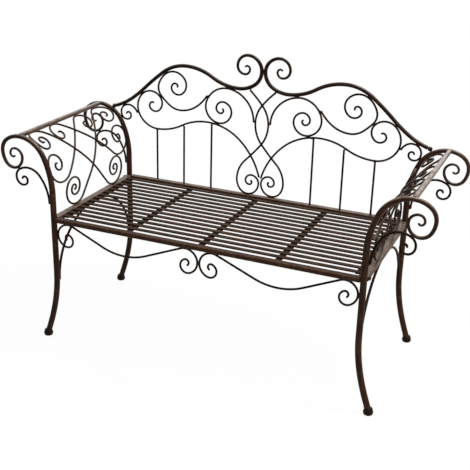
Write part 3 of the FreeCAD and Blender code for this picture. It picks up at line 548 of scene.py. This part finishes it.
shape = add(bolt_tree, "GeometryNodeObjectInfo")
outward = add(bolt_tree, "FunctionNodeAlignRotationToVector", axis="Z")
spin = add(bolt_tree, "FunctionNodeRandomValue", data_type="FLOAT")
spin.inputs["Seed"].default_value = 7
spin_most = next(socket for socket in spin.inputs if socket.enabled and socket.name == "Max")
spin_most.default_value = math.pi
own_axis = add(bolt_tree, "FunctionNodeAxisAngleToRotation")
own_axis.inputs["Axis"].default_value = (0, 0, 1)
tightened = add(bolt_tree, "FunctionNodeRotateRotation", rotation_space="LOCAL")
driven = add(bolt_tree, "GeometryNodeInstanceOnPoints")
link(bolt_tree,
     (bolt_given["Shape"], shape.inputs["Object"]),
     (carried(bolt_tree, "facing"), outward.inputs["Vector"]),
     (next(socket for socket in spin.outputs if socket.enabled), own_axis.inputs["Angle"]),
     (outward.outputs["Rotation"], tightened.inputs["Rotation"]),
     (own_axis.outputs["Rotation"], tightened.inputs["Rotate By"]),
     (bolt_given["Places"], driven.inputs["Points"]),
     (shape.outputs["Geometry"], driven.inputs["Instance"]),
     (tightened.outputs["Rotation"], driven.inputs["Rotation"]),
     (coated(bolt_tree, realized(bolt_tree, driven.outputs["Instances"]), bolt_given["Enamel"]),
      bolt_result["Bolts"]))


def carrier_of(name, points, **vectors):
    """Loose points with a named vector at each."""
    carrier = bpy.data.meshes.new(name)
    carrier.from_pydata(points, [], [])
    for label, values in vectors.items():
        attribute = carrier.attributes.new(label, "FLOAT_VECTOR", "POINT")
        attribute.data.foreach_set("vector", [part for value in values for part in value])
    return carrier


def set_at(name, places, pattern):
    """Copies of a pattern mesh at (point, facing) places."""
    points, facings = zip(*places)
    sample = bpy.data.objects.new(name + "_sample", pattern)
    bpy.context.scene.collection.objects.link(sample)
    mesh = made_by(bolt_tree, name, carrier_of(name + "_carrier", points, facing=facings),
                   {"Shape": sample, "Enamel": bolt_enamel}, bolt_enamel)
    bpy.data.objects.remove(sample)
    return mesh


bolt_low, bolt_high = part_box("seat_bolts")
nut_low, nut_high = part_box("seat_nuts")
_, rail_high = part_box("side_rail_right")
bolt_y = (nut_high.y - nut_low.y) / 2 - NUT_ACROSS / 2 / math.cos(math.pi / 6)
bolt_z = (bolt_low.z + bolt_high.z) / 2
head_places = []
nut_places = []
for hand in (-1, 1):
    for end in (-1, 1):
        head_places.append((Vector((hand * rail_high.x, end * bolt_y, bolt_z)), Vector((hand, 0, 0))))
        nut_places.append((Vector((hand * nut_high.x, end * bolt_y, bolt_z)), Vector((-hand, 0, 0))))
heads = set_at("seat_bolt_heads", head_places, turned("button_head", HEAD_RINGS, around=36))
stubs = set_at("seat_bolt_stubs", nut_places, turned("bolt_stub", STUB_RINGS, around=24))
nuts = set_at("seat_nuts_hexagon", nut_places, turned("hexagon_nut", NUT_RINGS, around=36))
placed(heads, "fixings", "seat_bolts")
placed(stubs, "fixings", "seat_bolts")
placed(nuts, "fixings", "seat_nuts")
dressed("knob_bolts", "heads", bolt_enamel, "fixings")


# Back: the top rail in two halves of bent steel bar, each curled into a finial at the middle and
# seated on a ball knob on the rear post. Below it scrolls, balusters and a lyre of thin bar are
# welded together, in two layers that cross.

top_enamel = enamelled(
    "top_enamel", film=(0.0125, 0.0046, 0.0019), thin_film=(0.026, 0.0112, 0.0054),
    rubbed=(0.110, 0.066, 0.040), dust_and_top_light_tone=(0.200, 0.152, 0.120),
    rub=0.35, dust_and_top_light_share=0.30, polish=1.0, relief=0.30, gloss=0.04)
for side in SIDES:
    dressed(f"knob_{side}", "ball", top_enamel, "frame_enamel")
    dressed(f"top_rail_{side}", "bar", top_enamel, "frame_enamel")
    for scroll in ("wave", "heart", "crown", "corner", "lyre"):
        dressed(f"back_{scroll}_{side}", "rod", rod_enamel, "frame_enamel")
    for baluster in ("outer", "middle", "inner"):
        dressed(f"baluster_{baluster}_{side}", "rod", rod_enamel, "frame_enamel")


# Apron and arm scrolls: thin steel bars curled at both ends and welded on, below the front rail and
# between the posts under each arm rail, where they follow the curve of the posts.

# A lighter, warmer copy of the rod enamel for the arm scrolls, paler on top: painted light where light
# falls on the arms, with some dust.
scroll_enamel = enamelled(
    "scroll_enamel", film=(0.0085, 0.0028, 0.0011), thin_film=(0.025, 0.0102, 0.0046),
    rubbed=(0.115, 0.066, 0.039), dust_and_top_light_tone=(0.230, 0.155, 0.106),
    rub=0.40, dust_and_top_light_share=0.50, polish=0.10, relief=0.30, gloss=0.04)
for side in SIDES:
    dressed(f"apron_scroll_{side}", "rod", rod_enamel, "frame_enamel")
    for way in ("rearward", "forward"):
        for layer in ("outer", "inner"):
            dressed(f"arm_scroll_{layer}_{way}_{side}", "rod", scroll_enamel, "frame_enamel")


# Welds: small lumps of weld metal, painted over, where two bars touch, down both sides of each rail
# end, and along the slats where they cross the straps. The bolted pieces and the feet have none.

weld_enamel = enamelled(
    "weld_enamel", film=(0.0150, 0.0052, 0.0022), thin_film=(0.027, 0.0115, 0.0058),
    rubbed=(0.085, 0.044, 0.023), dust_and_top_light_tone=(0.120, 0.095, 0.078),
    rub=0.50, dust_and_top_light_share=0.15, polish=0.40, relief=0.45)
weld_tree, weld_given, weld_result = node_group(
    "weld_beads", "GeometryNodeTree", {"Places": "Geometry", "Enamel": "Material"}, {"Beads": "Geometry"})
lump = add(weld_tree, "GeometryNodeMeshIcoSphere")
lump.inputs["Radius"].default_value = 1.0
lump.inputs["Subdivisions"].default_value = 2
upright = add(weld_tree, "FunctionNodeAlignRotationToVector", axis="Z")
lengthwise = add(weld_tree, "FunctionNodeAlignRotationToVector", axis="X", pivot_axis="Z")
dropped = add(weld_tree, "GeometryNodeInstanceOnPoints")
ripple = add(weld_tree, "ShaderNodeTexNoise")
ripple.inputs["Scale"].default_value = 330
ripple.inputs["Detail"].default_value = 2
centred = add(weld_tree, "ShaderNodeVectorMath", operation="SUBTRACT")
centred.inputs[1].default_value = (0.5, 0.5, 0.5)
rippled = add(weld_tree, "ShaderNodeVectorMath", operation="SCALE")
rippled.inputs["Scale"].default_value = 0.0022
uneven = add(weld_tree, "GeometryNodeSetPosition")
flowed = add(weld_tree, "GeometryNodeSetShadeSmooth")
link(weld_tree,
     (carried(weld_tree, "facing"), upright.inputs["Vector"]),
     (upright.outputs["Rotation"], lengthwise.inputs["Rotation"]),
     (carried(weld_tree, "along"), lengthwise.inputs["Vector"]),
     (weld_given["Places"], dropped.inputs["Points"]),
     (lump.outputs["Mesh"], dropped.inputs["Instance"]),
     (lengthwise.outputs["Rotation"], dropped.inputs["Rotation"]),
     (carried(weld_tree, "half"), dropped.inputs["Scale"]),
     (add(weld_tree, "GeometryNodeInputPosition").outputs["Position"], ripple.inputs["Vector"]),
     (ripple.outputs["Color"], centred.inputs[0]),
     (centred.outputs["Vector"], rippled.inputs[0]),
     (realized(weld_tree, dropped.outputs["Instances"]), uneven.inputs["Geometry"]),
     (rippled.outputs["Vector"], uneven.inputs["Offset"]),
     (uneven.outputs["Geometry"], flowed.inputs["Geometry"]),
     (coated(weld_tree, flowed.outputs["Geometry"], weld_given["Enamel"]), weld_result["Beads"]))

TOUCH = 0.0008
ONE_WELD = 0.025
EVERY_OTHER = 2
welded = [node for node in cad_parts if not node.startswith(("foot", "knob", "seat"))]
skin_points = []
skin_faces = []
skin_owners = []
for node in welded:
    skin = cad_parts[node].data
    start = len(skin_points)
    skin_points.extend(vert.co for vert in skin.vertices)
    skin_faces.extend([start + point for point in face.vertices] for face in skin.polygons)
    skin_owners.extend([node] * len(skin.polygons))
skins = BVHTree.FromPolygons(skin_points, skin_faces)
touches = {}
for node in welded:
    if node.startswith(("front_rail", "rear_rail", "side_rail")):
        continue
    for vert in list(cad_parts[node].data.vertices)[::EVERY_OTHER]:
        for point, normal, index, _ in skins.find_nearest_range(vert.co, TOUCH):
            other = skin_owners[index]
            if other != node:
                pair = tuple(sorted((node, other)))
                touches.setdefault(pair, []).append(((vert.co + point) / 2, normal))
clusters = []
for pair in sorted(touches):
    near = []
    for point, normal in touches[pair]:
        for cluster in near:
            if (cluster[0][0] - point).length < ONE_WELD:
                cluster.append((point, normal))
                break
        else:
            near.append([(point, normal)])
    clusters.extend(near)

BEAD_RISE = 0.0024
ROUND_CONTACT = 0.0004


def half_size(offsets, direction, margin, least, most):
    """How far a bead reaches to cover its contact along one direction."""
    return min(max(max(abs(offset.dot(direction)) for offset in offsets) + margin, least), most)


beads = []
for cluster in clusters:
    centre = sum((point for point, _ in cluster), Vector()) / len(cluster)
    first_normal = cluster[0][1]
    normals = [normal if normal.dot(first_normal) > 0 else -normal for _, normal in cluster]
    across = sum(normals, Vector()).normalized()
    offsets = [point - centre for point, _ in cluster]
    flat = [offset - across * offset.dot(across) for offset in offsets]
    longest = max(flat, key=lambda offset: offset.length)
    run = longest.normalized() if longest.length > ROUND_CONTACT else across.orthogonal().normalized()
    half_run = half_size(flat, run, margin=0.0014, least=0.0034, most=0.0085)
    half_over = half_size(flat, across.cross(run), margin=0.0013, least=0.0027, most=0.0046)
    beads.append((centre, across, run, (half_run, half_over, BEAD_RISE)))

UPWARD = Vector((0, 0, 1))
RAIL_BEAD_OFFSET = 0.0060
RAIL_BEAD_WIDE, RAIL_BEAD_RISE = 0.0026, 0.0030
for node, axis in (("front_rail", 0), ("rear_rail", 0), ("side_rail_left", 1), ("side_rail_right", 1)):
    low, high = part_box(node)
    for end in (low, high):
        for hand in (-1, 1):
            place = (low + high) / 2
            place[axis] = end[axis]
            place[1 - axis] += hand * RAIL_BEAD_OFFSET
            out = Vector((0, 0, 0))
            out[axis] = 1
            beads.append((place, out, UPWARD, ((high.z - low.z) / 2, RAIL_BEAD_WIDE, RAIL_BEAD_RISE)))

SIDEWAYS = Vector((1, 0, 0))
STRAP_BEAD_SETBACK = 0.002
STRAP_BEAD_THICK = 0.0013
for number in range(SLATS):
    slat_y = slat_low.y + SLAT_WIDTH / 2 + number * slat_pitch
    for low, high in strap_boxes:
        half_bead = (high.x - low.x) / 2 - STRAP_BEAD_SETBACK
        for hand in (-1, 1):
            place = Vector(((low.x + high.x) / 2, slat_y + hand * SLAT_WIDTH / 2, slat_low.z))
            beads.append((place, UPWARD, SIDEWAYS, (half_bead, STRAP_BEAD_THICK, STRAP_BEAD_THICK)))

places, facings, runs, halves = zip(*beads)
bead_points = carrier_of("weld_places", places, facing=facings, along=runs, half=halves)
placed(made_by(weld_tree, "weld_beads", bead_points, {"Enamel": weld_enamel}, weld_enamel), "frame_enamel")


# Floor and light: a plain pale floor and a white surround that shows as white and lights softly. A
# lamp stands at the front right, one hangs overhead, and a tall narrow one stands at each side.

def seen_directly(tree):
    """1 for camera, glossy and transmission rays, and the camera's rays alone."""
    rays = add(tree, "ShaderNodeLightPath").outputs
    seen = arithmetic(tree, "MAXIMUM", rays["Is Camera Ray"], rays["Is Glossy Ray"],
                      rays["Is Transmission Ray"])
    return seen, rays["Is Camera Ray"]


FLOOR_REACH = 40
floor_corners = [(x * FLOOR_REACH, y * FLOOR_REACH, 0) for x, y in ((-1, -1), (1, -1), (1, 1), (-1, 1))]
floor_mesh = bpy.data.meshes.new("floor")
floor_mesh.from_pydata(floor_corners, [], [(0, 1, 2, 3)])
floor_paint = bpy.data.materials.new("floor_paint")
floor_paint.use_nodes = True
floor_tree = floor_paint.node_tree
floor_shader = floor_tree.nodes["Principled BSDF"]
floor_shader.inputs["Roughness"].default_value = 0.9
floor_glow = add(floor_tree, "ShaderNodeEmission")
floor_seen, floor_camera = seen_directly(floor_tree)
floor_tone = blended(floor_tree, floor_camera, (0.62, 0.62, 0.62), (0.97, 0.97, 0.97))
floor_distance = add(floor_tree, "ShaderNodeVectorMath", operation="LENGTH")
floor_white = spread(floor_tree, floor_distance.outputs["Value"], low=0.8, high=2.6,
                     to_low=0.94, to_high=1.0)
floor_mix = add(floor_tree, "ShaderNodeMixShader")
link(floor_tree,
     (floor_tone, floor_shader.inputs["Base Color"]),
     (add(floor_tree, "ShaderNodeTexCoord").outputs["Object"], floor_distance.inputs[0]),
     (arithmetic(floor_tree, "MULTIPLY", floor_seen, floor_white), floor_mix.inputs["Fac"]),
     (floor_shader.outputs["BSDF"], floor_mix.inputs[1]),
     (floor_glow.outputs["Emission"], floor_mix.inputs[2]),
     (floor_mix.outputs["Shader"], floor_tree.nodes["Material Output"].inputs["Surface"]))
floor_mesh.materials.append(floor_paint)
floor = bpy.data.objects.new("floor", floor_mesh)
bpy.context.scene.collection.objects.link(floor)

world = bpy.data.worlds.new("surround")
bpy.context.scene.world = world
world.use_nodes = True
sky = world.node_tree
sky_light = sky.nodes["Background"]
sky_light.inputs["Color"].default_value = (1, 1, 1, 1)
sky_seen, _ = seen_directly(sky)
link(sky, (spread(sky, sky_seen, low=0, high=1, to_low=0.22, to_high=1.0), sky_light.inputs["Strength"]))


def lamp(name, place, target, width, height, power):
    light = bpy.data.lights.new(name, "AREA")
    light.shape = "RECTANGLE"
    light.size = width
    light.size_y = height
    light.energy = power
    holder = bpy.data.objects.new(name, light)
    bpy.context.scene.collection.objects.link(holder)
    holder.location = place
    holder.rotation_euler = (Vector(target) - Vector(place)).to_track_quat("-Z", "Y").to_euler()


lamp("front_right_lamp", place=(2.5, -2.3, 2.4), target=(0, 0, 0.45), width=1.2, height=1.2, power=50)
lamp("overhead_lamp", place=(0.8, 0.3, 2.7), target=(0, 0, 0.4), width=1.8, height=1.4, power=50)
lamp("left_lamp", place=(-2.8, 0.8, 1.5), target=(0, 0, 0.5), width=0.35, height=1.8, power=28)
lamp("right_lamp", place=(2.9, 0.3, 1.5), target=(0, 0, 0.5), width=0.35, height=1.8, power=40)


# Camera: at the height and angle of the photograph, to the right of the bench and looking down at
# it, with the whole bench in a square frame.

view = bpy.data.cameras.new("view")
view.sensor_width = 36
view.lens = 68.56
view.shift_x = -0.0017
view.shift_y = -0.0005
eye = bpy.data.objects.new("view", view)
bpy.context.scene.collection.objects.link(eye)
EYE_PLACE = (1.027, -2.4145, 1.450)
yaw, pitch, tilt = (math.radians(angle) for angle in (22.68, 22.36, 1.55))
eye.matrix_world = (Matrix.Translation(EYE_PLACE) @ Matrix.Rotation(yaw, 4, "Z")
                    @ Matrix.Rotation(math.pi / 2 - pitch, 4, "X") @ Matrix.Rotation(tilt, 4, "Z"))
bpy.context.scene.camera = eye
bpy.context.scene.view_settings.view_transform = "Standard"
